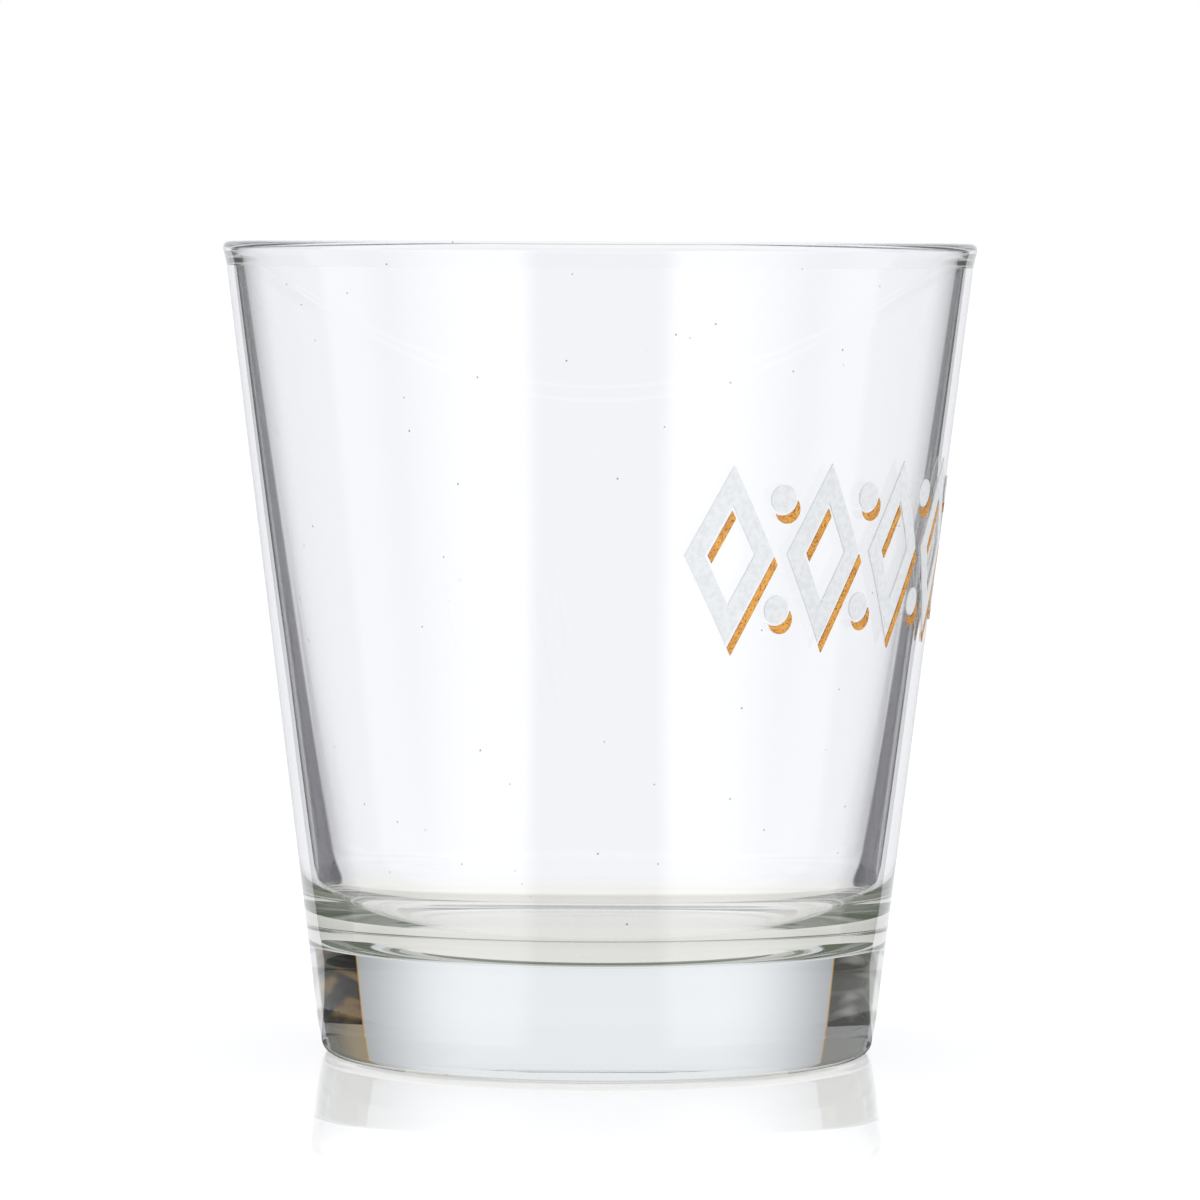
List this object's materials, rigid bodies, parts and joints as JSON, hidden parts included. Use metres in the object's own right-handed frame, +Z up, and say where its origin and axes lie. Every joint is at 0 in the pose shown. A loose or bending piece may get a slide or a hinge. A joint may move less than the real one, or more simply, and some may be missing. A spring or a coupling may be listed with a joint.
{
  "type": "rocks glass",
  "caption": "Clear conical rocks glass with a fire-polished lip, a heavy solid base and a fired-on band of white and gold enamel; holds a drink and stands on its foot.",
  "frame": {"origin": "centre of the foot, on the plane that the glass stands on", "axes": "+Z up along the axis of the glass, -Y towards the side that the picture looks at, +X to its right"},
  "size_m": [0.0882, 0.0882, 0.095],
  "materials": {
    "clear_glass": "fire-polished",
    "white_enamel": "satin fired enamel",
    "gold_enamel": "satin fired enamel with fine speckle"
  },
  "bodies": {
    "root": {"glass_body": "clear_glass", "white_lozenge_1": "white_enamel", "white_lozenge_2": "white_enamel", "white_lozenge_3": "white_enamel", "white_lozenge_4": "white_enamel", "white_lozenge_5": "white_enamel", "gold_lozenge_edge_1": "gold_enamel", "gold_lozenge_edge_2": "gold_enamel", "gold_lozenge_edge_3": "gold_enamel", "gold_lozenge_edge_4": "gold_enamel", "gold_lozenge_edge_5": "gold_enamel", "gold_lozenge_inset_1": "gold_enamel", "gold_lozenge_inset_2": "gold_enamel", "gold_lozenge_inset_3": "gold_enamel", "gold_lozenge_inset_4": "gold_enamel", "gold_lozenge_inset_5": "gold_enamel", "white_dot_upper_1": "white_enamel", "white_dot_upper_2": "white_enamel", "white_dot_upper_3": "white_enamel", "white_dot_upper_4": "white_enamel", "white_dot_lower_1": "white_enamel", "white_dot_lower_2": "white_enamel", "white_dot_lower_3": "white_enamel", "white_dot_lower_4": "white_enamel", "gold_dot_upper_1": "gold_enamel", "gold_dot_upper_2": "gold_enamel", "gold_dot_upper_3": "gold_enamel", "gold_dot_upper_4": "gold_enamel", "gold_dot_lower_1": "gold_enamel", "gold_dot_lower_2": "gold_enamel", "gold_dot_lower_3": "gold_enamel", "gold_dot_lower_4": "gold_enamel"}
  },
  "joints": []
}
